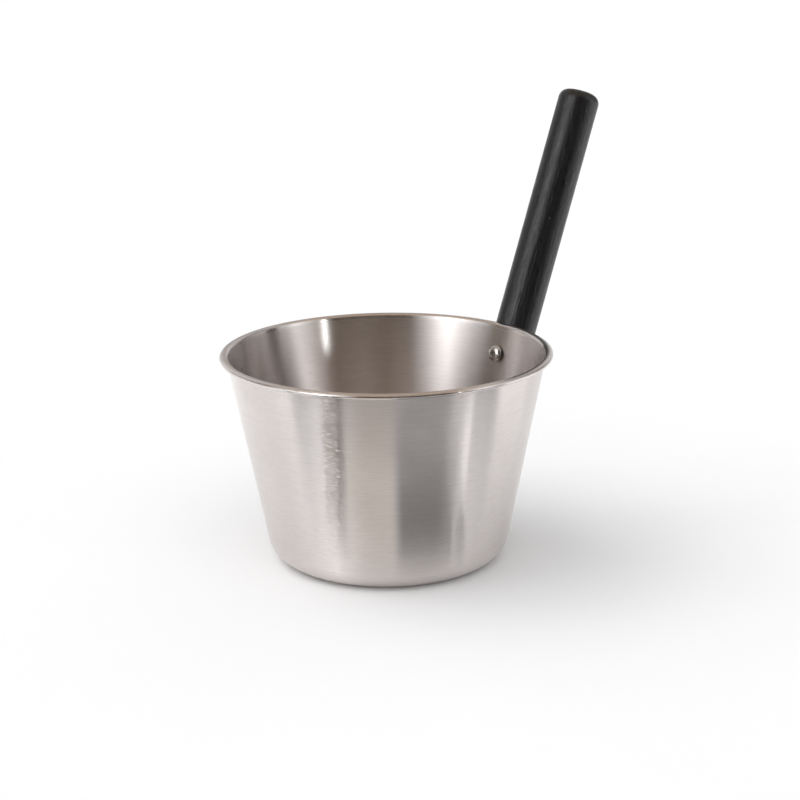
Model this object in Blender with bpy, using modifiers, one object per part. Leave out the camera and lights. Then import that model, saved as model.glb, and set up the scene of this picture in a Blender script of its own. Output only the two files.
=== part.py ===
"""Candle melting pot: a tapered pot of pressed steel sheet with a rolled rim, and a black wooden handle.

Metres, +Z up. The origin is the centre of the underside of the base. The handle stands on the +X side,
in the XZ plane, and is held by two screws that go through the wall from inside the pot.
Run it with: blender --background --python part.py
"""

from math import atan, cos, hypot, pi, radians, sin, sqrt, tan

import bmesh
import bpy
from mathutils import Matrix

MM = 0.001
GAP = 0.3 * MM  # left between pieces that touch on the real pot

# Pot: one sheet, described by the line through the middle of its thickness.
SHEET = 1.0 * MM
RIM_RADIUS = 115.0 * MM  # outermost edge of the rolled rim
BEAD_HEIGHT = 145.0 * MM  # middle of the roll above the underside of the base
BEAD_WIDTH = 5.9 * MM  # roll, across
BEAD_DEPTH = 4.0 * MM  # roll, top to bottom
WALL_LEAN = radians(10.93)  # wall to vertical
BASE_CORNER = 18.0 * MM  # outer radius between base and wall
CURL_END = radians(-130)  # where the free edge of the sheet tucks in under the roll

# Handle: a dowel, measured from the point of its axis that is level with the roll.
GRIP_RADIUS = 15.0 * MM
GRIP_LEAN = radians(21.3)  # dowel to vertical
GRIP_OFFSET = 125.7 * MM  # pot's axis to dowel's axis, level with the roll
GRIP_ABOVE = 175.4 * MM  # along the dowel
GRIP_BELOW = 88.6 * MM
GRIP_EASE = 7.0 * MM  # rounding of the top end
GRIP_CHAMFER = 1.0 * MM  # edge of the bottom end

# Fixings: each height is where the screw's axis leaves the outer face of the wall.
UPPER_FIXING = BEAD_HEIGHT - 19.4 * MM
LOWER_FIXING = BEAD_HEIGHT - 59.4 * MM
SHANK_RADIUS = 3.0 * MM
SHANK_LENGTH = 16.0 * MM
SHANK_CHAMFER = 0.6 * MM
HEAD_RADIUS = 5.7 * MM
HEAD_HEIGHT = 2.4 * MM
HEAD_SIDE = 0.6 * MM  # straight side below the dome
DOME_SWEEP = radians(55)
SOCKET_FLATS = 4.0 * MM  # size of the hexagon key
SOCKET_DEPTH = 2.0 * MM
HOLE_RADIUS = SHANK_RADIUS + GAP
WASHER_RADIUS = 6.0 * MM
WASHER_THICKNESS = 0.6 * MM
SEAL_RADIUS = 5.0 * MM
SEAL_THICKNESS = 0.6 * MM
SEAL_BULGE = 0.15 * MM
SEAL_CLEARANCE = 0.4 * MM  # its flat face clears the curve of the wall
INSERT_CREST = 4.5 * MM
INSERT_ROOT = 3.95 * MM
INSERT_PITCH = 2.2 * MM
INSERT_THREADS = 5
INSERT_RECESS = 1.0 * MM  # below the face of the wood
BORE_DEPTH = 14.5 * MM
OVERRUN = 5.0 * MM  # a cutter's length past the face that it enters

# Facets round each turned piece
POT_STEPS = 64
GRIP_STEPS = 48
SCREW_STEPS = 32
RING_STEPS = 24
CORNER_POINTS = 6
EASE_POINTS = 7
SHARP_ANGLE = radians(32)

# Each finish: base colour, roughness, metallic
POT_STEEL = ((0.62, 0.60, 0.58), 0.32, 1.0)
BLACK_PAINT = ((0.016, 0.016, 0.017), 0.42, 0.0)
SCREW_STEEL = ((0.66, 0.64, 0.62), 0.22, 1.0)
WASHER_STEEL = ((0.60, 0.59, 0.57), 0.28, 1.0)
SEAL_RUBBER = ((0.03, 0.03, 0.03), 0.70, 0.0)
INSERT_BRASS = ((0.72, 0.53, 0.25), 0.35, 1.0)


def clear_scene():
    for obj in list(bpy.data.objects):
        bpy.data.objects.remove(obj, do_unlink=True)


def new_collection(name):
    collection = bpy.data.collections.new(name)
    bpy.context.scene.collection.children.link(collection)
    return collection


def new_empty(name, matrix, collection):
    """A frame to place pieces in: its Z is the axis that they are turned about."""
    empty = bpy.data.objects.new(name, None)
    empty.matrix_world = matrix
    collection.objects.link(empty)
    return empty


def new_material(name, finish):
    colour, roughness, metallic = finish
    material = bpy.data.materials.new(name)
    material.use_nodes = True
    shader = material.node_tree.nodes["Principled BSDF"]
    shader.inputs["Base Color"].default_value = (*colour, 1.0)
    shader.inputs["Roughness"].default_value = roughness
    shader.inputs["Metallic"].default_value = metallic
    return material


def sweep(first, last, count):
    """Evenly spaced values from first to last, both included."""
    return [first + (last - first) * step / (count - 1) for step in range(count)]


def new_turned(name, profile, steps, collection, parent=None, ring=False):
    """Turn (radius, height) points about the parent's Z. They run down the outer side.

    A ring's profile is a closed loop, and any other starts and ends on the axis.
    """
    count = len(profile)
    edges = [(start, start + 1) for start in range(count - 1)]
    if ring:
        edges.append((count - 1, 0))
    mesh = bpy.data.meshes.new(name)
    mesh.from_pydata([(radius, 0.0, height) for radius, height in profile], edges, [])
    obj = bpy.data.objects.new(name, mesh)
    obj.parent = parent
    collection.objects.link(obj)
    turn = obj.modifiers.new("turn", "SCREW")
    turn.steps = steps
    turn.render_steps = steps
    turn.use_merge_vertices = True
    turn.merge_threshold = 0.001 * MM
    return obj


def as_cutter(obj):
    obj.hide_render = True
    obj.display_type = "WIRE"
    return obj


def cut(obj, cutter):
    boolean = obj.modifiers.new("cut " + cutter.name, "BOOLEAN")
    boolean.operation = "DIFFERENCE"
    boolean.solver = "EXACT"
    boolean.object = cutter


def finish_piece(obj, finish):
    """Apply the modifiers, shade the round faces smooth and give the piece its material."""
    graph = bpy.context.evaluated_depsgraph_get()
    mesh = bpy.data.meshes.new_from_object(obj.evaluated_get(graph))
    obj.modifiers.clear()
    obj.data = mesh
    mesh.name = obj.name
    mesh.shade_smooth()
    mesh.set_sharp_from_angle(angle=SHARP_ANGLE)
    mesh.materials.clear()
    mesh.materials.append(new_material(obj.name + "_finish", finish))


# The pot


def bead_axes():
    """Half width and half depth of the roll, to the middle of the sheet."""
    return (BEAD_WIDTH - SHEET) / 2, (BEAD_DEPTH - SHEET) / 2


def bead_start():
    """The angle round the roll at which the wall runs into it without a kink."""
    across, up = bead_axes()
    return pi - atan(tan(WALL_LEAN) * up / across)


def bead_angles():
    """Steps round the roll, from the wall to the free edge. They include its top, side and bottom."""
    return [
        *sweep(bead_start(), pi / 2, 4)[:-1],
        *sweep(pi / 2, -pi / 2, 7)[:-1],
        *sweep(-pi / 2, CURL_END, 3),
    ]


def bead_side(angle, offset):
    """A point beside the middle of the rolled sheet: a positive offset is away from the roll's hollow."""
    across, up = bead_axes()
    normal = (up * cos(angle), across * sin(angle))
    scale = offset / hypot(*normal)
    radius = RIM_RADIUS - BEAD_WIDTH / 2 + across * cos(angle) + scale * normal[0]
    return radius, BEAD_HEIGHT + up * sin(angle) + scale * normal[1]


def wall_radius(height, offset=SHEET / 2):
    """Radius of the wall at a height: its outer face, or offset outward from the middle of the sheet."""
    radius, start_height = bead_side(bead_start(), 0.0)
    return radius + (height - start_height) * tan(WALL_LEAN) + offset / cos(WALL_LEAN)


def sheet_side(offset):
    """One face of the sheet, from the middle of the base to the free edge under the roll.

    A positive offset is the face inside the pot, which goes on over the top of the roll.
    """
    corner = BASE_CORNER - SHEET / 2
    corner_height = SHEET / 2 + corner
    corner_radius = wall_radius(corner_height, 0.0) - corner / cos(WALL_LEAN)
    points = [(0.0, SHEET / 2 + offset)]
    for angle in sweep(-pi / 2, -WALL_LEAN, CORNER_POINTS):
        reach = corner - offset
        points.append((corner_radius + reach * cos(angle), corner_height + reach * sin(angle)))
    return points + [bead_side(angle, offset) for angle in bead_angles()]


def make_pot_body(collection, screw_holes):
    inner_face = sheet_side(SHEET / 2)
    outer_face = sheet_side(-SHEET / 2)
    pot = new_turned("pot_body", inner_face + outer_face[::-1], POT_STEPS, collection)
    for hole in screw_holes:
        cut(pot, hole)
    finish_piece(pot, POT_STEEL)


def make_pot_clearance(collection):
    """The room that the pot's outside takes in the wood: the wall and the roll, grown by the gap."""
    offset = SHEET / 2 + GAP
    roll = [bead_side(angle, offset) for angle in bead_angles() if angle <= pi / 2]
    top = roll[0][1]
    under_roll = roll[-1][1]
    bottom = -OVERRUN
    profile = [(0.0, top), *roll]
    profile.append((wall_radius(under_roll, offset), under_roll))
    profile.append((wall_radius(bottom, offset), bottom))
    profile.append((0.0, bottom))
    return as_cutter(new_turned("pot_clearance", profile, POT_STEPS, collection))


# The handle


def make_handle_grip(collection, frame, pot_clearance, insert_bores):
    shoulder = GRIP_RADIUS - GRIP_EASE
    profile = [(0.0, GRIP_ABOVE)]
    for angle in sweep(pi / 2, 0.0, EASE_POINTS):
        radius = shoulder + GRIP_EASE * cos(angle)
        profile.append((radius, GRIP_ABOVE - GRIP_EASE + GRIP_EASE * sin(angle)))
    profile.append((GRIP_RADIUS, GRIP_CHAMFER - GRIP_BELOW))
    profile.append((GRIP_RADIUS - GRIP_CHAMFER, -GRIP_BELOW))
    profile.append((0.0, -GRIP_BELOW))
    grip = new_turned("handle_grip", profile, GRIP_STEPS, collection, frame)
    for cutter in (pot_clearance, *insert_bores):
        cut(grip, cutter)
    finish_piece(grip, BLACK_PAINT)


# The fixings. In a fixing's frame, Z is the outward normal of the wall and 0 is its outer face.


def fixing_frame(height):
    place = Matrix.Translation((wall_radius(height), 0.0, height))
    return place @ Matrix.Rotation(pi / 2 + WALL_LEAN, 4, "Y")


def fixing_stack():
    """Heights of the seal, the washer and the screw's head seat, from the wall inward."""
    seal_top = -SHEET - SEAL_CLEARANCE
    washer_top = seal_top - SEAL_THICKNESS - GAP
    head_seat = washer_top - WASHER_THICKNESS - GAP
    return seal_top, washer_top, head_seat


def make_bore(name, radius, depth, frame, collection):
    """A straight cutter from well inside the wall to the given depth in the wood."""
    start = -SHEET - OVERRUN
    profile = [(0.0, depth), (radius, depth), (radius, start), (0.0, start)]
    return as_cutter(new_turned(name, profile, RING_STEPS, collection, frame))


def make_screw(name, frame, parts, cutters):
    seat = fixing_stack()[2]
    tip = seat + SHANK_LENGTH
    rim = seat - HEAD_SIDE
    rise = (HEAD_HEIGHT - HEAD_SIDE) / sin(DOME_SWEEP)
    profile = [(0.0, tip), (SHANK_RADIUS - SHANK_CHAMFER, tip), (SHANK_RADIUS, tip - SHANK_CHAMFER)]
    profile += [(SHANK_RADIUS, seat), (HEAD_RADIUS, seat)]
    for angle in sweep(0.0, DOME_SWEEP, EASE_POINTS):
        profile.append((HEAD_RADIUS * cos(angle), rim - rise * sin(angle)))
    crown = profile[-1][1]
    profile.append((0.0, crown))
    screw = new_turned(name, profile, SCREW_STEPS, parts, frame)
    cut(screw, make_socket(name + "_socket", crown, frame, cutters))
    finish_piece(screw, SCREW_STEEL)


def make_socket(name, crown, frame, collection):
    """A hexagonal cutter that enters the crown of a screw's head."""
    radius = SOCKET_FLATS / sqrt(3)
    length = SOCKET_DEPTH + OVERRUN
    middle = Matrix.Translation((0.0, 0.0, crown + SOCKET_DEPTH - length / 2))
    mesh = bpy.data.meshes.new(name)
    shape = bmesh.new()
    bmesh.ops.create_cone(
        shape, cap_ends=True, segments=6, radius1=radius, radius2=radius, depth=length, matrix=middle
    )
    shape.to_mesh(mesh)
    shape.free()
    socket = bpy.data.objects.new(name, mesh)
    socket.parent = frame
    collection.objects.link(socket)
    return as_cutter(socket)


def make_washer(name, frame, collection):
    top = fixing_stack()[1]
    bottom = top - WASHER_THICKNESS
    edge = WASHER_THICKNESS / 4
    profile = [(WASHER_RADIUS - edge, top), (WASHER_RADIUS, top - edge)]
    profile += [(WASHER_RADIUS, bottom + edge), (WASHER_RADIUS - edge, bottom)]
    profile += [(HOLE_RADIUS, bottom), (HOLE_RADIUS, top)]
    washer = new_turned(name, profile, RING_STEPS, collection, frame, ring=True)
    finish_piece(washer, WASHER_STEEL)


def make_seal(name, frame, collection):
    top = fixing_stack()[0]
    bottom = top - SEAL_THICKNESS
    middle = (top + bottom) / 2
    profile = [(SEAL_RADIUS - SEAL_BULGE, top), (SEAL_RADIUS, middle)]
    profile += [(SEAL_RADIUS - SEAL_BULGE, bottom), (HOLE_RADIUS, bottom), (HOLE_RADIUS, top)]
    seal = new_turned(name, profile, RING_STEPS, collection, frame, ring=True)
    finish_piece(seal, SEAL_RUBBER)


def make_insert(name, frame, collection):
    """A sleeve for the screw, with coarse ridges outside that bite in the wood."""
    mouth = INSERT_RECESS
    end = mouth + INSERT_THREADS * INSERT_PITCH
    profile = [(HOLE_RADIUS, end), (INSERT_ROOT, end)]
    for thread in range(INSERT_THREADS):
        ridge = end - (thread + 0.5) * INSERT_PITCH
        profile.append((INSERT_CREST, ridge))
        profile.append((INSERT_ROOT, ridge - INSERT_PITCH / 2))
    profile.append((HOLE_RADIUS, mouth))
    insert = new_turned(name, profile, RING_STEPS, collection, frame, ring=True)
    finish_piece(insert, INSERT_BRASS)


def main():
    clear_scene()
    parts = new_collection("candle_melting_pot")
    cutters = new_collection("cutters")

    grip_place = Matrix.Translation((GRIP_OFFSET, 0.0, BEAD_HEIGHT))
    grip_frame = new_empty("grip_frame", grip_place @ Matrix.Rotation(GRIP_LEAN, 4, "Y"), parts)
    frames = {}
    for place, height in (("upper", UPPER_FIXING), ("lower", LOWER_FIXING)):
        frames[place] = new_empty(place + "_fixing", fixing_frame(height), parts)

    screw_holes = []
    insert_bores = []
    for place, frame in frames.items():
        screw_holes.append(make_bore(place + "_hole", HOLE_RADIUS, OVERRUN, frame, cutters))
        insert_bores.append(make_bore(place + "_bore", INSERT_CREST + GAP, BORE_DEPTH, frame, cutters))

    make_pot_body(parts, screw_holes)
    make_handle_grip(parts, grip_frame, make_pot_clearance(cutters), insert_bores)
    for place, frame in frames.items():
        make_screw(place + "_screw", frame, parts, cutters)
        make_washer(place + "_washer", frame, parts)
        make_seal(place + "_seal", frame, parts)
        make_insert(place + "_insert", frame, parts)


main()
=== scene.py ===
"""Looks of the candle melting pot: brushed steel, a rolled rim, a black painted dowel and its fixings.

Metres, in the frame of the CAD model. Every piece rides on the one body, root.
"""

from functools import cache
from math import atan, cos, hypot, pi, radians, sin, sqrt, tan

import bmesh
import bpy
from mathutils import Matrix, Vector, noise


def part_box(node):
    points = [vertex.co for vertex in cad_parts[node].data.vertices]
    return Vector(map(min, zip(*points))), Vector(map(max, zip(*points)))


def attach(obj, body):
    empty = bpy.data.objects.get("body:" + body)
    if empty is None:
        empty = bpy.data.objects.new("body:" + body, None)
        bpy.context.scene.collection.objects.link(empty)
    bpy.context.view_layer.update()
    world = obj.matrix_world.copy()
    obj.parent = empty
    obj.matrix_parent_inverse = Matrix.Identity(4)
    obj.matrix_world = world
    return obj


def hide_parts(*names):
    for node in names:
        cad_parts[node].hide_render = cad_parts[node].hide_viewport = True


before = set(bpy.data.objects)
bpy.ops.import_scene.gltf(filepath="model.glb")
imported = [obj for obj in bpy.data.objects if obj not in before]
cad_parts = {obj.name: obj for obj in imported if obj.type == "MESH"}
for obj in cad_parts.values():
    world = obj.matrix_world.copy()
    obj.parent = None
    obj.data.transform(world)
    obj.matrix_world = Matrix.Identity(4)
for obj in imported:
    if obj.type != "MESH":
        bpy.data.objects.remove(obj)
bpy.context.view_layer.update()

MM = 0.001
BODY = "root"

# Pot, as in the CAD model: one sheet with a rolled rim
POT_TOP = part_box("pot_body")[1]
RIM_RADIUS = POT_TOP.y
SHEET = 1.0 * MM
BEAD_WIDTH = 5.9 * MM
BEAD_DEPTH = 4.0 * MM
BEAD_HEIGHT = POT_TOP.z - BEAD_DEPTH / 2
WALL_LEAN = radians(10.93)
BASE_CORNER = 18.0 * MM
CURL_END = radians(-130)
WALL_UNEVENNESS = 0.05 * MM
UNEVEN_FROM = 12.0 * MM
UNEVEN_TO = 140.0 * MM
UNEVEN_FADE = 25.0 * MM
GAP = 0.3 * MM

# Handle
GRIP_LOW, GRIP_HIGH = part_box("handle_grip")
GRIP_RADIUS = (GRIP_HIGH.y - GRIP_LOW.y) / 2
GRIP_LEAN = radians(21.3)
GRIP_OFFSET = 125.7 * MM
GRIP_ABOVE = 175.3 * MM
GRIP_BELOW = 88.6 * MM
GRIP_EASE = 7.0 * MM
GRIP_CHAMFER = 1.0 * MM
GRIP_UNEVENNESS = 0.06 * MM

# Fixings
FIXING_HEIGHTS = {"upper": BEAD_HEIGHT - 19.4 * MM, "lower": BEAD_HEIGHT - 59.4 * MM}
SHANK_RADIUS = 3.0 * MM
SHANK_LENGTH = 16.0 * MM
SHANK_CHAMFER = 0.6 * MM
THREAD_PITCH = 1.0 * MM
THREAD_DEPTH = 0.55 * MM
THREAD_START = 2.0 * MM
THREAD_ROWS = 8
HEAD_RADIUS = 5.7 * MM
HEAD_HEIGHT = 2.4 * MM
HEAD_SIDE = 0.6 * MM
HEAD_EDGE = 0.2 * MM
DOME_SWEEP = radians(55)
SOCKET_FLATS = 4.0 * MM
SOCKET_DEPTH = 2.0 * MM
HOLE_RADIUS = SHANK_RADIUS + GAP
WASHER_RADIUS = 6.0 * MM
WASHER_THICKNESS = 0.6 * MM
WASHER_EDGE = 0.15 * MM
SEAL_RADIUS = 5.0 * MM
SEAL_THICKNESS = 0.6 * MM
SEAL_EDGE = 0.25 * MM
SEAL_CLEARANCE = 0.4 * MM
INSERT_CREST = 4.5 * MM
INSERT_ROOT = 3.95 * MM
INSERT_PITCH = 2.2 * MM
INSERT_LENGTH = 11.0 * MM
INSERT_RECESS = 1.0 * MM
BORE_DEPTH = 14.5 * MM
OVERRUN = 5.0 * MM

# Steps round each turned shape and across a card
POT_STEPS = 320
CLEARANCE_STEPS = 256
GRIP_STEPS = 128
RING_STEPS = 72
THREAD_STEPS = 64
BORE_STEPS = 48
CARD_STEPS = 17

# A point this close counts as on the axis, or on a thread's crest
ON_AXIS = 0.001 * MM
CREST_MARGIN = 0.01 * MM

# Camera: seen from the front left of the handle, slightly above
CAMERA_AZIMUTH = radians(-40.1)
CAMERA_REACH = 1.2047
CAMERA_HEIGHT = 0.4548
CAMERA_AIM = 0.1108
CAMERA_SIDESTEP = 0.00905
CAMERA_ROLL = radians(0.65)
CAMERA_LENS = 81.0

# Studio. Azimuths are degrees from the camera's own direction, positive to the camera's right.
FLOOR_HALF = 14.0
FLOOR_HEIGHT = -0.1 * MM
WHITE = (1.0, 1.0, 1.0)
BROWN = (1.0, 0.80, 0.63)
WARM = (1.0, 0.95, 0.90)
DAYLIGHT = (0.97, 0.985, 1.0)
COOL = (0.94, 1.0, 1.0)
SOFT_LIGHT = (0.66, 0.66, 0.662)

# The middle of the pot's scuffed side
SCUFFED_AZIMUTH = -26.0

# What the steel mirrors all round, level with the pot: (azimuth, radiance). It is brown where it is
# dim and has the colour of daylight where its radiance is above DAYLIT. It turns into ROOM_ABOVE
# between two sines of the elevation.
DAYLIT = 0.8
ROOM_ABOVE = (0.54, 0.45, 0.365)
ROOM_ENDS = (0.64, 0.78)
ROOM_PEAK = 4.0
ROOM = (
    (-179.0, 0.40),
    (-148.0, 0.85),
    (-124.0, 0.38),
    (-113.0, 0.60),
    (-104.0, 0.24),
    (-90.0, 0.28),
    (-82.0, 0.85),
    (-68.0, 1.50),
    (-58.0, 2.30),
    (-50.0, 3.40),
    (-34.0, 1.30),
    (-19.0, 0.06),
    (46.0, 0.06),
    (52.0, 0.40),
    (58.0, 0.62),
    (66.0, 0.95),
    (73.0, 1.80),
    (81.0, 0.90),
    (104.0, 0.70),
    (130.0, 0.22),
    (165.0, 0.75),
    (179.0, 0.40),
)


def sweep(first, last, count):
    """Evenly spaced values from first to last, both included."""
    return [first + (last - first) * step / (count - 1) for step in range(count)]


# Shapes


def new_object(name, mesh, matrix=None):
    obj = bpy.data.objects.new(name, mesh)
    obj.matrix_world = matrix or Matrix.Identity(4)
    bpy.context.scene.collection.objects.link(obj)
    return obj


def turned(name, profile, steps, matrix=None, ring=False, shift=None):
    """Turn (radius, height) points about Z. They run down the outer side.

    A ring's profile is a closed loop, and any other starts and ends on the axis. shift(angle, radius,
    height) gives a point's new (radius, height), for a thread or an uneven surface.
    """
    shape = bmesh.new()
    rows = []
    for radius, height in profile:
        if radius < ON_AXIS:
            rows.append([shape.verts.new((0.0, 0.0, height))] * steps)
            continue
        row = []
        for step in range(steps):
            angle = 2 * pi * step / steps
            r, z = shift(angle, radius, height) if shift else (radius, height)
            row.append(shape.verts.new((r * cos(angle), r * sin(angle), z)))
        rows.append(row)
    if ring:
        rows.append(rows[0])
    for upper, lower in zip(rows, rows[1:]):
        for step in range(steps):
            after = (step + 1) % steps
            corners = (upper[step], lower[step], lower[after], upper[after])
            face = list(dict.fromkeys(corners))
            if len(face) > 2:
                shape.faces.new(face)
    mesh = bpy.data.meshes.new(name)
    shape.to_mesh(mesh)
    shape.free()
    return new_object(name, mesh, matrix)


def cut(obj, cutters):
    """Cut closed shapes out of obj for good, and throw the cutters away."""
    for cutter in cutters:
        boolean = obj.modifiers.new("cut", "BOOLEAN")
        boolean.operation = "DIFFERENCE"
        boolean.solver = "EXACT"
        boolean.object = cutter
    bpy.context.view_layer.update()
    graph = bpy.context.evaluated_depsgraph_get()
    mesh = bpy.data.meshes.new_from_object(obj.evaluated_get(graph))
    obj.modifiers.clear()
    obj.data = mesh
    for cutter in cutters:
        bpy.data.objects.remove(cutter)


def smooth(obj, sharp=radians(35)):
    obj.data.shade_smooth()
    obj.data.set_sharp_from_angle(angle=sharp)


def place(obj, node, material):
    """Put a finished piece on the pot in place of its CAD node."""
    obj.data.materials.clear()
    obj.data.materials.append(material)
    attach(obj, BODY)
    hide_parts(node)


# The sheet of the pot


def bead_axes():
    return (BEAD_WIDTH - SHEET) / 2, (BEAD_DEPTH - SHEET) / 2


def bead_start():
    """The angle round the roll at which the wall runs into it without a kink."""
    across, up = bead_axes()
    return pi - atan(tan(WALL_LEAN) * up / across)


def bead_side(angle, offset):
    """A point beside the middle of the rolled sheet: a positive offset is away from the roll's hollow."""
    across, up = bead_axes()
    normal = (up * cos(angle), across * sin(angle))
    scale = offset / hypot(*normal)
    radius = RIM_RADIUS - BEAD_WIDTH / 2 + across * cos(angle) + scale * normal[0]
    return radius, BEAD_HEIGHT + up * sin(angle) + scale * normal[1]


def wall_radius(height, offset=SHEET / 2):
    radius, start_height = bead_side(bead_start(), 0.0)
    return radius + (height - start_height) * tan(WALL_LEAN) + offset / cos(WALL_LEAN)


def sheet_side(offset):
    """One face of the sheet, from the middle of the base to the free edge under the roll."""
    corner = BASE_CORNER - SHEET / 2
    corner_height = SHEET / 2 + corner
    corner_radius = wall_radius(corner_height, 0.0) - corner / cos(WALL_LEAN)
    points = [(radius, SHEET / 2 + offset) for radius in sweep(0.0, corner_radius, 14)[:-1]]
    reach = corner - offset
    for angle in sweep(-pi / 2, -WALL_LEAN, 16):
        points.append((corner_radius + reach * cos(angle), corner_height + reach * sin(angle)))
    foot = points[-1]
    head = bead_side(bead_start(), offset)
    for part in sweep(0.0, 1.0, 30)[1:-1]:
        points.append(tuple(a + (b - a) * part for a, b in zip(foot, head)))
    for angle in [*sweep(bead_start(), 0.0, 25)[:-1], *sweep(0.0, CURL_END, 17)]:
        points.append(bead_side(angle, offset))
    return points


def pressed_unevenness(angle, radius, height):
    """The wall of a pressed pot is out of true by a few hundredths of a millimetre."""
    inside = min(height - UNEVEN_FROM, UNEVEN_TO - height)
    fade = min(1.0, max(0.0, inside / UNEVEN_FADE))
    spot = Vector((cos(angle) * 3.0, sin(angle) * 3.0, height / (45 * MM)))
    return radius + WALL_UNEVENNESS * fade * noise.noise(spot), height


def fixing_frame(height):
    """In this frame Z is the outward normal of the wall and 0 is its outer face."""
    move = Matrix.Translation((wall_radius(height), 0.0, height))
    return move @ Matrix.Rotation(pi / 2 + WALL_LEAN, 4, "Y")


def bore(radius, depth, matrix):
    """A cutter that starts inside the pot and ends at a depth past the wall's outer face."""
    start = -SHEET - OVERRUN
    profile = [(0.0, depth), (radius, depth), (radius, start), (0.0, start)]
    return turned("bore", profile, BORE_STEPS, matrix)


def fixing_bores(radius, depth):
    return [bore(radius, depth, fixing_frame(height)) for height in FIXING_HEIGHTS.values()]


def make_pot_body():
    profile = sheet_side(SHEET / 2) + sheet_side(-SHEET / 2)[::-1]
    pot = turned("pot_shell", profile, POT_STEPS, shift=pressed_unevenness)
    cut(pot, fixing_bores(HOLE_RADIUS, OVERRUN))
    smooth(pot)
    place(pot, "pot_body", brushed_steel())
    steel_collection().objects.link(pot)


# The handle


def pot_clearance():
    """A cutter as wide as the pot, its roll and the gap round them."""
    offset = SHEET / 2 + GAP
    roll = [bead_side(angle, offset) for angle in sweep(pi / 2, CURL_END, 30)]
    profile = [(0.0, roll[0][1]), *roll]
    profile.append((wall_radius(roll[-1][1], offset), roll[-1][1]))
    profile.append((wall_radius(-OVERRUN, offset), -OVERRUN))
    profile.append((0.0, -OVERRUN))
    return turned("pot_clearance", profile, CLEARANCE_STEPS)


def sanded_unevenness(angle, radius, height):
    """Hand sanding leaves the dowel a little short of round, only ever inward."""
    spot = Vector((cos(angle) * 1.2, sin(angle) * 1.2, height / (30 * MM)))
    return radius - GRIP_UNEVENNESS * (0.5 + 0.5 * noise.noise(spot)), height


def grip_frame():
    """In this frame Z runs up the dowel and 0 is level with the roll."""
    return Matrix.Translation((GRIP_OFFSET, 0.0, BEAD_HEIGHT)) @ Matrix.Rotation(GRIP_LEAN, 4, "Y")


def make_handle():
    matrix = grip_frame()
    shoulder = GRIP_RADIUS - GRIP_EASE
    profile = [(radius, GRIP_ABOVE) for radius in sweep(0.0, shoulder, 6)[:-1]]
    for angle in sweep(pi / 2, 0.0, 10):
        radius = shoulder + GRIP_EASE * cos(angle)
        profile.append((radius, GRIP_ABOVE - GRIP_EASE + GRIP_EASE * sin(angle)))
    for height in sweep(GRIP_ABOVE - GRIP_EASE, GRIP_CHAMFER - GRIP_BELOW, 90)[1:]:
        profile.append((GRIP_RADIUS, height))
    profile += [(radius, -GRIP_BELOW) for radius in sweep(GRIP_RADIUS - GRIP_CHAMFER, 0.0, 6)]
    grip = turned("painted_handle", profile, GRIP_STEPS, matrix, shift=sanded_unevenness)
    cut(grip, [pot_clearance(), *fixing_bores(INSERT_CREST + GAP, BORE_DEPTH)])
    grip.data.transform(matrix)
    grip.matrix_world = Matrix.Identity(4)
    smooth(grip)
    place(grip, "handle_grip", black_paint())


# The fixings


def fixing_stack():
    """Heights of the seal, the washer and the screw's head seat, from the wall inward."""
    seal_top = -SHEET - SEAL_CLEARANCE
    washer_top = seal_top - SEAL_THICKNESS - GAP
    head_seat = washer_top - WASHER_THICKNESS - GAP
    return seal_top, washer_top, head_seat


def thread_shift(root, crest, pitch, low, high):
    """A helical thread between two heights: points at the crest radius sink towards the root."""

    def shift(angle, radius, height):
        if not low < height < high or abs(radius - crest) > CREST_MARGIN:
            return radius, height
        turn = (height / pitch - angle / (2 * pi)) % 1.0
        fade = min(1.0, (height - low) / pitch, (high - height) / pitch)
        return radius - (crest - root) * abs(2 * turn - 1) * fade, height

    return shift


def make_screw(place_name, matrix):
    seat = fixing_stack()[2]
    tip = seat + SHANK_LENGTH
    rim = seat - HEAD_SIDE
    rise = (HEAD_HEIGHT - HEAD_SIDE) / sin(DOME_SWEEP)
    profile = [(0.0, tip), (SHANK_RADIUS - SHANK_CHAMFER, tip)]
    rows = int(SHANK_LENGTH / THREAD_PITCH) * THREAD_ROWS
    profile += [(SHANK_RADIUS, height) for height in sweep(tip - SHANK_CHAMFER, seat, rows)]
    profile += [(HEAD_RADIUS - HEAD_EDGE, seat), (HEAD_RADIUS, seat - HEAD_EDGE)]
    for angle in sweep(0.0, DOME_SWEEP, 14):
        profile.append((HEAD_RADIUS * cos(angle), rim - rise * sin(angle)))
    crown = profile[-1][1]
    profile.append((0.0, crown))
    root = SHANK_RADIUS - THREAD_DEPTH
    shift = thread_shift(root, SHANK_RADIUS, THREAD_PITCH, seat + THREAD_START, tip)
    screw = turned(place_name + "_button_screw", profile, THREAD_STEPS, matrix, shift=shift)
    cut(screw, [socket(crown, matrix)])
    smooth(screw)
    place(screw, place_name + "_screw", turned_steel("screw_finish", 0.16))


def socket(crown, matrix):
    """A hexagonal cutter that enters the crown of a screw's head."""
    radius = SOCKET_FLATS / sqrt(3)
    length = SOCKET_DEPTH + OVERRUN
    middle = Matrix.Translation((0.0, 0.0, crown + SOCKET_DEPTH - length / 2))
    mesh = bpy.data.meshes.new("socket")
    shape = bmesh.new()
    bmesh.ops.create_cone(
        shape, cap_ends=True, segments=6, radius1=radius, radius2=radius, depth=length, matrix=middle
    )
    shape.to_mesh(mesh)
    shape.free()
    return new_object("socket", mesh, matrix)


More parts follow.
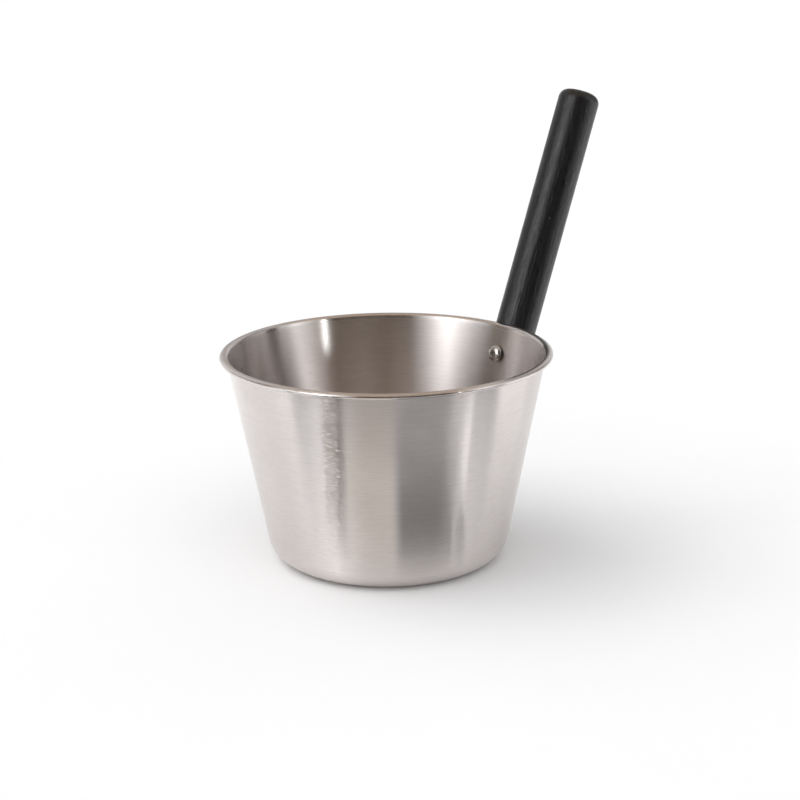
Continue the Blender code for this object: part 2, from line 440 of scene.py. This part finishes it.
def rounded_ring(inner, outer, bottom, top, edge):
    """A ring's profile with rounded outer and inner corners."""
    points = []
    for angle in sweep(pi / 2, 0.0, 6):
        points.append((outer - edge + edge * cos(angle), top - edge + edge * sin(angle)))
    for angle in sweep(0.0, -pi / 2, 6):
        points.append((outer - edge + edge * cos(angle), bottom + edge + edge * sin(angle)))
    for angle in sweep(-pi / 2, -pi, 6):
        points.append((inner + edge + edge * cos(angle), bottom + edge + edge * sin(angle)))
    for angle in sweep(pi, pi / 2, 6):
        points.append((inner + edge + edge * cos(angle), top - edge + edge * sin(angle)))
    return points


def make_washer(place_name, matrix):
    top = fixing_stack()[1]
    profile = rounded_ring(HOLE_RADIUS, WASHER_RADIUS, top - WASHER_THICKNESS, top, WASHER_EDGE)
    washer = turned(place_name + "_flat_washer", profile, RING_STEPS, matrix, ring=True)
    smooth(washer)
    place(washer, place_name + "_washer", turned_steel("washer_finish", 0.38))


def make_seal(place_name, matrix):
    top = fixing_stack()[0]
    profile = rounded_ring(HOLE_RADIUS, SEAL_RADIUS, top - SEAL_THICKNESS, top, SEAL_EDGE)
    seal = turned(place_name + "_rubber_seal", profile, RING_STEPS, matrix, ring=True)
    smooth(seal)
    place(seal, place_name + "_seal", seal_rubber())


def make_insert(place_name, matrix):
    end = INSERT_RECESS + INSERT_LENGTH
    profile = [(HOLE_RADIUS, end)]
    profile += [(INSERT_CREST, height) for height in sweep(end, INSERT_RECESS, 60)]
    profile.append((HOLE_RADIUS, INSERT_RECESS))
    shift = thread_shift(INSERT_ROOT, INSERT_CREST, INSERT_PITCH, INSERT_RECESS, end)
    name = place_name + "_threaded_insert"
    insert = turned(name, profile, THREAD_STEPS, matrix, ring=True, shift=shift)
    smooth(insert)
    place(insert, place_name + "_insert", insert_brass())


def make_fixings():
    for place_name, height in FIXING_HEIGHTS.items():
        matrix = fixing_frame(height)
        make_screw(place_name, matrix)
        make_washer(place_name, matrix)
        make_seal(place_name, matrix)
        make_insert(place_name, matrix)


# Materials


class Nodes:
    """Short ways to add and join the nodes of a new material or world."""

    def __init__(self, owner):
        self.owner = owner
        owner.use_nodes = True
        self.tree = owner.node_tree
        self.shader = self.tree.nodes.get("Principled BSDF")

    def add(self, kind, **settings):
        node = self.tree.nodes.new("ShaderNode" + kind)
        for key, value in settings.items():
            setattr(node, key, value)
        return node

    def join(self, source, target):
        self.tree.links.new(source, target)

    def feed(self, socket_in, value):
        if isinstance(value, bpy.types.NodeSocket):
            self.join(value, socket_in)
        else:
            socket_in.default_value = value

    def maths(self, operation, first, second=0.0):
        node = self.add("Math", operation=operation)
        self.feed(node.inputs[0], first)
        self.feed(node.inputs[1], second)
        return node.outputs[0]

    def vector(self, operation, *values, scale=None):
        """A vector maths node. A dot product or a length comes out as a number."""
        node = self.add("VectorMath", operation=operation)
        for socket_in, value in zip(node.inputs, values):
            self.feed(socket_in, value)
        if scale is not None:
            self.feed(node.inputs["Scale"], scale)
        return node.outputs["Value" if operation in ("DOT_PRODUCT", "LENGTH") else "Vector"]

    def coordinates(self):
        return self.add("TexCoord").outputs["Object"]

    def split(self, vector):
        node = self.add("SeparateXYZ")
        self.join(vector, node.inputs[0])
        return node.outputs

    def within(self, matrix, vector):
        """Coordinates measured in a frame that stands at matrix."""
        node = self.add("Mapping", vector_type="TEXTURE")
        self.join(vector, node.inputs["Vector"])
        node.inputs["Location"].default_value = matrix.to_translation()
        node.inputs["Rotation"].default_value = matrix.to_euler()
        return node.outputs[0]

    def scaled(self, vector, scale):
        node = self.add("Mapping")
        self.join(vector, node.inputs["Vector"])
        node.inputs["Scale"].default_value = scale
        return node.outputs[0]

    def noise(self, vector, detail=3.0, scale=1.0):
        node = self.add("TexNoise")
        self.join(vector, node.inputs["Vector"])
        node.inputs["Scale"].default_value = scale
        node.inputs["Detail"].default_value = detail
        node.inputs["Roughness"].default_value = 0.55
        return node.outputs["Fac"]

    def remap(self, value, low, high, to_low=0.0, to_high=1.0, smoothly=False):
        node = self.add("MapRange", interpolation_type="SMOOTHSTEP" if smoothly else "LINEAR")
        self.feed(node.inputs["Value"], value)
        limits = {"From Min": low, "From Max": high, "To Min": to_low, "To Max": to_high}
        for key, number in limits.items():
            node.inputs[key].default_value = number
        return node.outputs[0]

    def mix_colours(self, factor, first, second):
        node = self.add("Mix", data_type="RGBA")
        self.feed(node.inputs["Factor"], factor)
        for key, colour in (("A", first), ("B", second)):
            plain = not isinstance(colour, bpy.types.NodeSocket)
            self.feed(node.inputs[key], (*colour, 1.0) if plain else colour)
        return next(out for out in node.outputs if out.type == "RGBA")

    def bump(self, height, distance, strength=1.0, normal=None):
        node = self.add("Bump")
        self.join(height, node.inputs["Height"])
        node.inputs["Distance"].default_value = distance
        node.inputs["Strength"].default_value = strength
        if normal:
            self.join(normal, node.inputs["Normal"])
        return node.outputs[0]

    def set(self, **values):
        for key, value in values.items():
            self.feed(self.shader.inputs[key.replace("_", " ")], value)

    def around_axis(self, coordinates):
        """The unit direction from the Z axis, and radius plus height: the two ways across what is turned."""
        flat = self.scaled(coordinates, (1.0, 1.0, 0.0))
        along = self.maths("ADD", self.vector("LENGTH", flat), self.split(coordinates)["Z"])
        return self.vector("NORMALIZE", flat), along

    def streaks(self, direction, along, per_turn, per_metre, detail=2.0):
        """Noise drawn out round the axis: per_turn sets its length, per_metre its width."""
        lift = self.add("CombineXYZ")
        self.join(self.maths("MULTIPLY", along, per_metre), lift.inputs["Z"])
        spot = self.vector("MULTIPLY_ADD", direction, (per_turn, per_turn, per_turn), lift.outputs[0])
        return self.noise(spot, detail=detail)


def scuffs(n, direction, along, tangent):
    """Small tilts of the surface, up and back round the pot, that glint on its one scuffed side."""
    side = n.vector("DOT_PRODUCT", direction, round_camera(SCUFFED_AZIMUTH, 1.0, 0.0))
    scuffed = n.remap(side, 0.974, 0.996, smoothly=True)
    flecks = n.streaks(direction, along, 28.0, 1900.0)
    sway = n.maths("MULTIPLY", n.remap(flecks, 0.46, 0.80, 0.0, 0.15), scuffed)
    lean = n.vector("MULTIPLY_ADD", tangent, (-0.5, -0.5, -0.5), (0.0, 0.0, 2.5))
    return n.vector("SCALE", lean, scale=sway)


def brushed_steel():
    """Brushed round the axis, so that what it mirrors is drawn out into upright bands."""
    n = Nodes(bpy.data.materials.new("pot_finish"))
    coordinates = n.coordinates()
    direction, along = n.around_axis(coordinates)
    fine = n.streaks(direction, along, 13.0, 1500.0, 3.0)
    broad = n.streaks(direction, along, 3.0, 700.0, 3.0)
    cloudy = n.noise(coordinates, scale=28.0)
    brush = n.maths("ADD", n.maths("MULTIPLY", fine, 0.6), n.maths("MULTIPLY", broad, 0.4))
    height = n.split(coordinates)["Z"]
    at_rim = n.remap(height, BEAD_HEIGHT - BEAD_DEPTH / 2, BEAD_HEIGHT, smoothly=True)

    colour = n.mix_colours(n.remap(brush, 0.35, 0.65), (0.71, 0.663, 0.645), (0.80, 0.75, 0.732))
    uneven = n.remap(cloudy, 0.35, 0.65, -0.015, 0.02)
    rough = n.maths("ADD", n.remap(brush, 0.3, 0.7, 0.28, 0.32), uneven)
    rough = n.maths("MULTIPLY", rough, n.remap(at_rim, 0.0, 1.0, 1.0, 0.8))
    tangent = n.add("Tangent", direction_type="RADIAL", axis="Z").outputs[0]
    lines = n.bump(brush, 0.004 * MM, 0.5)
    grain = n.vector("ADD", lines, scuffs(n, direction, along, tangent))
    n.set(Base_Color=colour, Roughness=rough, Metallic=1.0, Normal=n.vector("NORMALIZE", grain))
    n.set(Anisotropic=1.0, Anisotropic_Rotation=0.25, Tangent=tangent)
    return n.owner


def black_paint():
    """Brushed paint over wood: fibres and pores show through, with small dents and a little dust."""
    n = Nodes(bpy.data.materials.new("handle_finish"))
    coordinates = n.within(grip_frame(), n.coordinates())
    fibres = n.noise(n.scaled(coordinates, (900.0, 900.0, 22.0)))
    pores = n.noise(n.scaled(coordinates, (1600.0, 1600.0, 60.0)), detail=2.0)
    brushing = n.noise(n.scaled(coordinates, (260.0, 260.0, 12.0)), detail=4.0)
    peel = n.noise(n.scaled(coordinates, (1.0, 1.0, 0.4)), scale=400.0)
    specks = n.noise(coordinates, detail=1.0, scale=520.0)
    dents = n.noise(n.scaled(coordinates, (1.0, 1.0, 0.25)), detail=2.0, scale=330.0)

    paint = n.mix_colours(n.remap(brushing, 0.35, 0.7), (0.002, 0.002, 0.0024), (0.005, 0.005, 0.006))
    dust = n.remap(specks, 0.775, 0.80)
    colour = n.mix_colours(dust, paint, (0.16, 0.15, 0.14))
    rough = n.remap(brushing, 0.3, 0.7, 0.30, 0.44)
    rough = n.maths("ADD", rough, n.remap(fibres, 0.3, 0.7, -0.06, 0.08))
    rough = n.maths("ADD", rough, n.remap(peel, 0.35, 0.65, -0.05, 0.07))
    grain = n.bump(n.remap(pores, 0.30, 0.42), 0.03 * MM, 0.5)
    grain = n.bump(fibres, 0.13 * MM, 0.7, grain)
    grain = n.bump(peel, 0.13 * MM, 0.8, grain)
    grain = n.bump(n.remap(dents, 0.64, 0.50), 0.13 * MM, 0.8, grain)
    n.set(Base_Color=colour, Roughness=rough, Normal=grain, IOR=1.58)
    return n.owner


@cache
def turned_steel(name, roughness):
    n = Nodes(bpy.data.materials.new(name))
    direction, along = n.around_axis(n.coordinates())
    marks = n.streaks(direction, along, 3.0, 9000.0)
    colour = n.mix_colours(marks, (0.58, 0.56, 0.54), (0.74, 0.72, 0.70))
    rough = n.remap(marks, 0.3, 0.7, roughness - 0.04, roughness + 0.06)
    n.set(Base_Color=colour, Roughness=rough, Metallic=1.0, Normal=n.bump(marks, 0.004 * MM, 0.5))
    return n.owner


@cache
def seal_rubber():
    n = Nodes(bpy.data.materials.new("seal_finish"))
    grain = n.noise(n.coordinates(), scale=2500.0)
    colour = n.mix_colours(grain, (0.022, 0.022, 0.022), (0.045, 0.044, 0.043))
    rough = n.remap(grain, 0.3, 0.7, 0.62, 0.78)
    n.set(Base_Color=colour, Roughness=rough, Normal=n.bump(grain, 0.02 * MM, 0.5))
    return n.owner


@cache
def insert_brass():
    n = Nodes(bpy.data.materials.new("insert_finish"))
    direction, along = n.around_axis(n.coordinates())
    marks = n.streaks(direction, along, 3.0, 6000.0)
    colour = n.mix_colours(marks, (0.62, 0.42, 0.17), (0.80, 0.60, 0.30))
    rough = n.remap(marks, 0.3, 0.7, 0.26, 0.40)
    n.set(Base_Color=colour, Roughness=rough, Metallic=1.0, Normal=n.bump(marks, 0.005 * MM, 0.5))
    return n.owner


def floor_material():
    n = Nodes(bpy.data.materials.new("floor_finish"))
    mottle = n.noise(n.coordinates(), detail=4.0, scale=3.0)
    n.set(Base_Color=n.mix_colours(mottle, (0.88, 0.88, 0.882), (0.92, 0.92, 0.922)))
    n.set(Roughness=n.remap(mottle, 0.3, 0.7, 0.55, 0.65), Specular_IOR_Level=0.0)
    return n.owner


def card_material(name, radiance, colour):
    """A card that glows evenly, with a faint mottle."""
    n = Nodes(bpy.data.materials.new(name))
    mottle = n.noise(n.coordinates(), scale=9.0)
    dim, full = ([channel * radiance * share for channel in colour] for share in (0.94, 1.06))
    n.set(Base_Color=(0.0, 0.0, 0.0, 1.0), Roughness=1.0, Specular_IOR_Level=0.0)
    n.set(Emission_Color=n.mix_colours(mottle, dim, full), Emission_Strength=1.0)
    return n.owner


# Studio


def round_camera(azimuth, reach, height):
    """A point at an azimuth, reach metres from the Z axis."""
    angle = CAMERA_AZIMUTH + radians(azimuth)
    return Vector((sin(angle) * reach, -cos(angle) * reach, height))


def aimed(eye, aim):
    """A frame at eye whose -Z looks at aim, with Y up."""
    return Matrix.Translation(eye) @ (aim - eye).to_track_quat("-Z", "Y").to_matrix().to_4x4()


def make_camera():
    camera = bpy.data.objects.new("camera", bpy.data.cameras.new("camera"))
    bpy.context.scene.collection.objects.link(camera)
    eye = round_camera(0.0, CAMERA_REACH, CAMERA_HEIGHT)
    aim = round_camera(90.0, CAMERA_SIDESTEP, CAMERA_AIM)
    camera.matrix_world = aimed(eye, aim) @ Matrix.Rotation(-CAMERA_ROLL, 4, "Z")
    camera.data.lens = CAMERA_LENS
    camera.data.sensor_width = 36.0
    camera.data.clip_start = 0.01
    camera.data.clip_end = 100.0
    bpy.context.scene.camera = camera


def make_floor():
    mesh = bpy.data.meshes.new("floor")
    shape = bmesh.new()
    bmesh.ops.create_grid(shape, x_segments=24, y_segments=24, size=FLOOR_HALF)
    bmesh.ops.translate(shape, verts=shape.verts, vec=(0.0, 0.0, FLOOR_HEIGHT))
    shape.to_mesh(mesh)
    shape.free()
    mesh.materials.append(floor_material())
    new_object("floor", mesh)


def make_card(name, azimuths, reach, radiance, colour=WHITE, height=1.0 * MM, turns=(0.0, 0.0)):
    """A glowing sector just over the floor that only reflections see, so that the steel has tones to mirror.

    It lies between two azimuths and two distances from the pot's axis. turns is how many degrees each
    of its sides swings round from its near end to its far end.
    """
    shape = bmesh.new()
    rows = []
    low, high = azimuths
    far_azimuths = sweep(low + turns[0], high + turns[1], CARD_STEPS)
    for ends in zip(sweep(low, high, CARD_STEPS), far_azimuths):
        points = [round_camera(azimuth, metres, height) for azimuth, metres in zip(ends, reach)]
        rows.append([shape.verts.new(point) for point in points])
    for first, second in zip(rows, rows[1:]):
        shape.faces.new((first[0], first[1], second[1], second[0]))
    mesh = bpy.data.meshes.new(name)
    shape.to_mesh(mesh)
    shape.free()
    mesh.materials.append(card_material(name, radiance, colour))
    card = new_object(name, mesh)
    card.visible_camera = card.visible_diffuse = card.visible_shadow = False


def make_cards():
    make_card("dark_room", (-66.0, 80.0), (0.36, 8.0), 0.03, BROWN)
    make_card("warm_front", (-30.0, 4.0), (0.11, 0.36), 0.86, WARM)
    make_card("dark_stand", (-33.5, -28.0), (0.14, 0.36), 0.0)
    make_card("stand_side", (-43.0, -33.5), (0.16, 0.36), 0.30, BROWN)
    edge = {"height": 2.0 * MM, "turns": (16.5, 18.5)}
    make_card("bright_edge", (39.6, 40.4), (0.138, 0.40), 3.6, DAYLIGHT, **edge)
    make_card("prop_edge", (4.0, 51.5), (0.118, 0.225), 0.45)
    make_card("dark_prop", (7.0, 50.0), (0.124, 0.195), 0.0, height=1.5 * MM)
    make_card("bright_right", (78.0, 112.0), (0.36, 8.0), 1.4)
    make_card("bright_left", (-150.0, -66.0), (0.36, 8.0), 1.2)


def steel_collection():
    """The pieces that the blade lamp lights."""
    return bpy.data.collections.get("steel") or bpy.data.collections.new("steel")


def make_lamp(name, kind, eye, aim):
    lamp = bpy.data.lights.new(name, kind)
    obj = bpy.data.objects.new(name, lamp)
    bpy.context.scene.collection.objects.link(obj)
    obj.matrix_world = aimed(eye, aim)
    return obj, lamp


def make_blade_lamp(azimuth, reach, foot, size, aim, spread, radiance):
    """An upright lamp, width by height, with a narrow beam that only the pot's reflections see."""
    width, height = size
    obj, lamp = make_lamp("blade", "AREA", round_camera(azimuth, reach, foot + height / 2), aim)
    lamp.shape = "RECTANGLE"
    lamp.size, lamp.size_y = size
    lamp.spread = radians(spread)
    lamp.energy = radiance * pi * width * height * (lamp.spread / 2) ** 2 / 3
    lamp.color = COOL
    obj.visible_camera = obj.visible_diffuse = False
    obj.light_linking.receiver_collection = steel_collection()


def make_sky_lamp(name, azimuth, elevation, spread, strength):
    """A broad soft lamp far away. Reflections don't see it."""
    rise = radians(elevation)
    obj, lamp = make_lamp(name, "SUN", round_camera(azimuth, 3 * cos(rise), 3 * sin(rise)), Vector())
    lamp.energy = strength
    lamp.angle = radians(spread)
    obj.visible_glossy = False


def room_ramp(n, turn):
    """ROOM as a colour ramp over one turn, which runs from 0 behind the camera to 1 behind it again."""
    node = n.add("ValToRGB")
    n.join(turn, node.inputs[0])
    stops = node.color_ramp.elements
    for azimuth, radiance in ROOM:
        tint = Vector(BROWN).lerp(Vector(DAYLIGHT), min(1.0, radiance / DAYLIT))
        stops.new(0.5 + azimuth / 360).color = (*(tint * radiance / ROOM_PEAK), 1.0)
    stops.remove(stops[0])
    stops.remove(stops[-1])
    return n.vector("SCALE", node.outputs["Color"], scale=ROOM_PEAK)


def make_world():
    """A pale room. Reflections see it darker, with a window to the left and smaller ones to the right."""
    n = Nodes(bpy.data.worlds.new("studio"))
    bpy.context.scene.world = n.owner
    x, y, rise = n.split(n.add("TexCoord").outputs["Generated"])
    turn = n.maths("ARCTAN2", x, n.maths("MULTIPLY", y, -1.0))
    turn = n.maths("MULTIPLY", n.maths("SUBTRACT", turn, CAMERA_AZIMUTH), 0.5 / pi)
    turn = n.maths("FRACT", n.maths("ADD", turn, 1.5))
    above = n.remap(rise, *ROOM_ENDS, smoothly=True)
    room = n.mix_colours(above, room_ramp(n, turn), ROOM_ABOVE)
    path = n.add("LightPath")
    lit = n.mix_colours(path.outputs["Is Camera Ray"], SOFT_LIGHT, WHITE)
    final = n.mix_colours(path.outputs["Is Glossy Ray"], lit, room)
    n.join(final, n.tree.nodes["Background"].inputs["Color"])


def make_studio():
    make_camera()
    make_floor()
    make_world()
    make_sky_lamp("key", azimuth=-80.0, elevation=60.0, spread=50.0, strength=0.60)
    make_sky_lamp("side_key", azimuth=-120.0, elevation=45.0, spread=45.0, strength=0.48)
    make_sky_lamp("low_key", azimuth=-80.0, elevation=40.0, spread=40.0, strength=0.27)
    make_sky_lamp("fill", azimuth=15.0, elevation=60.0, spread=50.0, strength=0.48)
    far_wall = round_camera(-156.0, 0.109, 0.135)
    make_blade_lamp(
        azimuth=48.5, reach=2.4, foot=0.32, size=(0.14, 0.20), aim=far_wall, spread=7.0, radiance=60.0
    )
    make_cards()
    bpy.context.scene.view_settings.view_transform = "Standard"


make_studio()
make_pot_body()
make_handle()
make_fixings()
